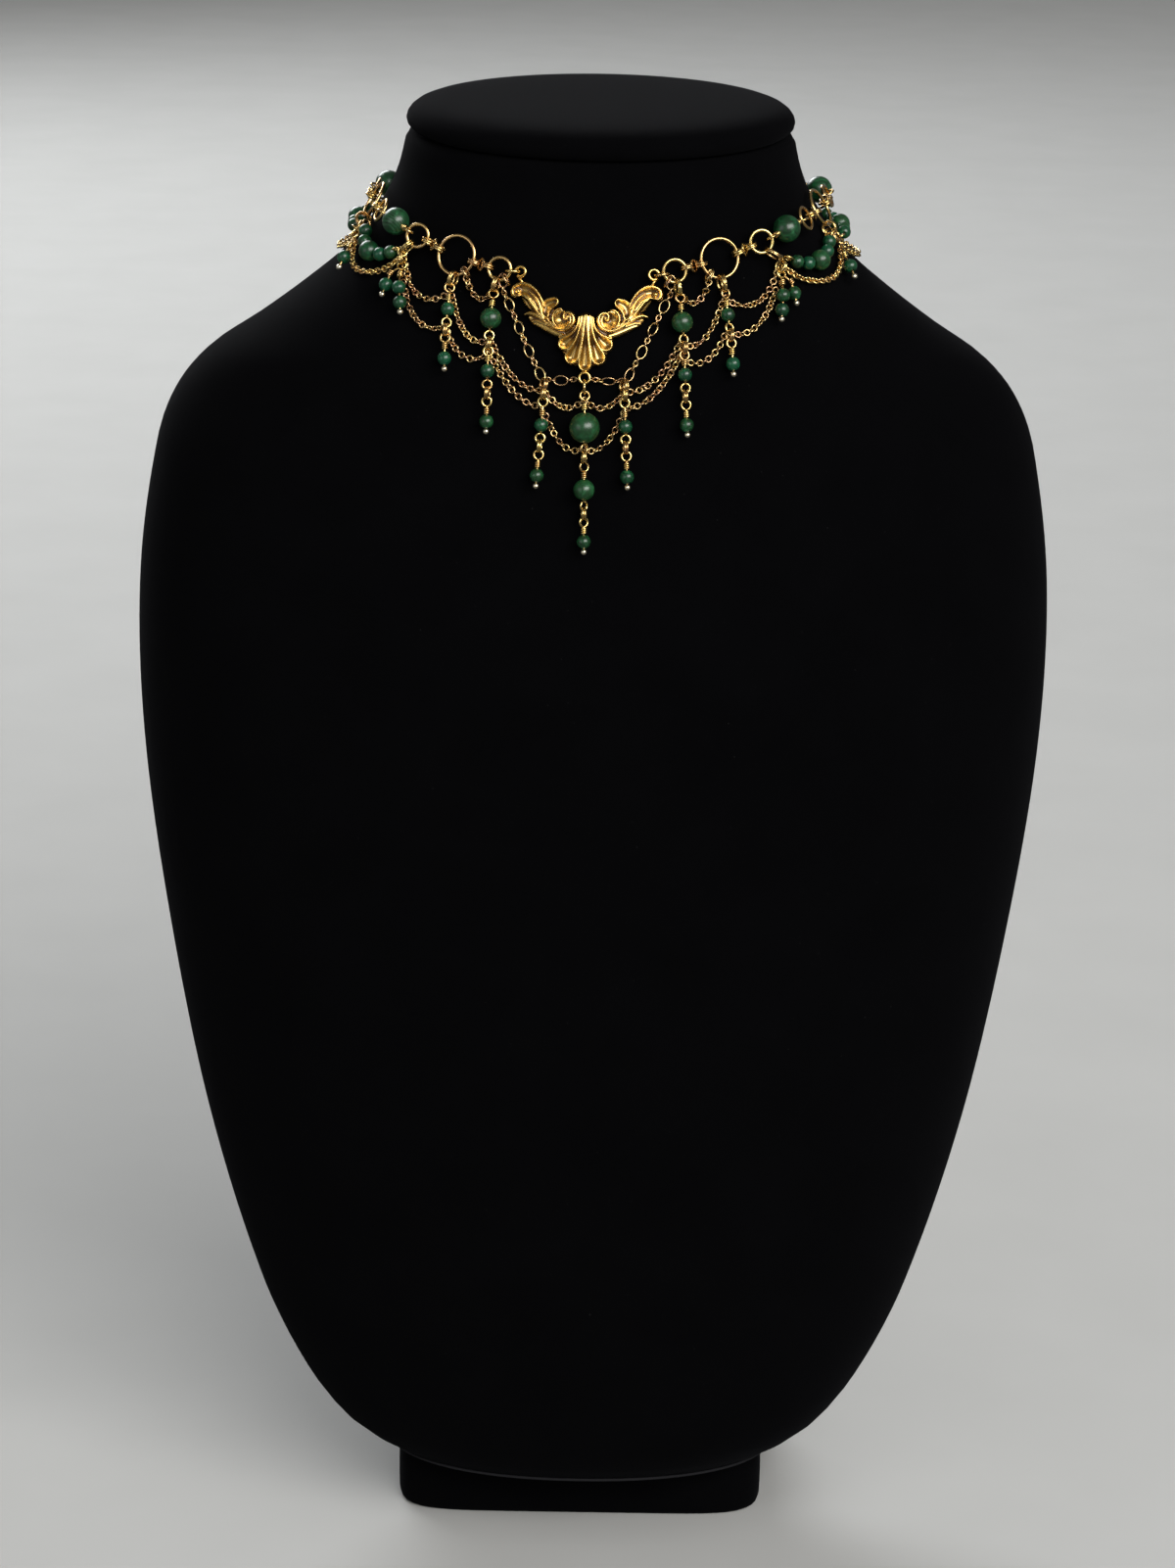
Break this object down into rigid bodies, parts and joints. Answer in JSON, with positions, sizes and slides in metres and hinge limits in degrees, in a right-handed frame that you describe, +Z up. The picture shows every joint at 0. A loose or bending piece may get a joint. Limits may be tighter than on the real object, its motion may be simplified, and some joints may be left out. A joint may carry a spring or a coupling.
{
  "type": "choker necklace on neck bust",
  "caption": "Gold link choker with a stamped shell-and-scroll centrepiece, swagged chains and green stone bead drops, laid on a black velvet neck bust that stands by itself.",
  "frame": {"origin": "middle of the base's underside, below the middle of the neck", "axes": "+Z up along the neck, -Y towards the wearer's front, +X to the viewer's right when seen from the front"},
  "size_m": [0.2734, 0.1177, 0.4441],
  "materials": {
    "velvet": "black flocked velvet with a short even nap, almost no shine and a faint pale rim at grazing light",
    "gold": "polished warm gold plate on brass wire and stampings, with darker patina in the hollows of the stamping and a faint rose tint on the fine chains",
    "green_stone": "polished opaque dark green stone with soft paler clouds, and banded in two of the beads"
  },
  "bodies": {
    "root": {"base_block": "velvet", "bust_form": "velvet", "centre_ornament": "gold", "clasp": "gold", "drop_centre": "gold", "drop_centre_stone_1": "green_stone", "drop_centre_stone_2": "green_stone", "left_back_chain": "gold", "left_bead_strand_1": "green_stone", "left_bead_strand_2": "green_stone", "left_connector_1": "gold", "left_connector_2": "gold", "left_drop_1": "gold", "left_drop_2": "gold", "left_drop_2_stone": "green_stone", "left_drop_3": "gold", "left_drop_4": "gold", "left_drop_5": "gold", "left_jump_ring": "gold", "left_large_ring_1": "gold", "left_oval_chain": "gold", "left_row_stone_1": "green_stone", "left_row_stone_2": "green_stone", "left_row_wire_1": "gold", "left_row_wire_2": "gold", "left_side_links": "gold", "left_side_swag": "gold", "left_small_ring_1": "gold", "left_small_ring_2": "gold", "left_top_swag": "gold", "lower_swag_chain": "gold", "neck_cap": "velvet", "right_back_chain": "gold", "right_bead_strand_1": "green_stone", "right_bead_strand_2": "green_stone", "right_connector_1": "gold", "right_connector_2": "gold", "right_drop_1": "gold", "right_drop_2": "gold", "right_drop_2_stone": "green_stone", "right_drop_3": "gold", "right_drop_4": "gold", "right_drop_5": "gold", "right_jump_ring": "gold", "right_large_ring_1": "gold", "right_oval_chain": "gold", "right_row_stone_1": "green_stone", "right_row_stone_2": "green_stone", "right_row_wire_1": "gold", "right_row_wire_2": "gold", "right_side_links": "gold", "right_side_swag": "gold", "right_small_ring_1": "gold", "right_small_ring_2": "gold", "right_top_swag": "gold", "upper_swag_chain": "gold"}
  },
  "joints": []
}
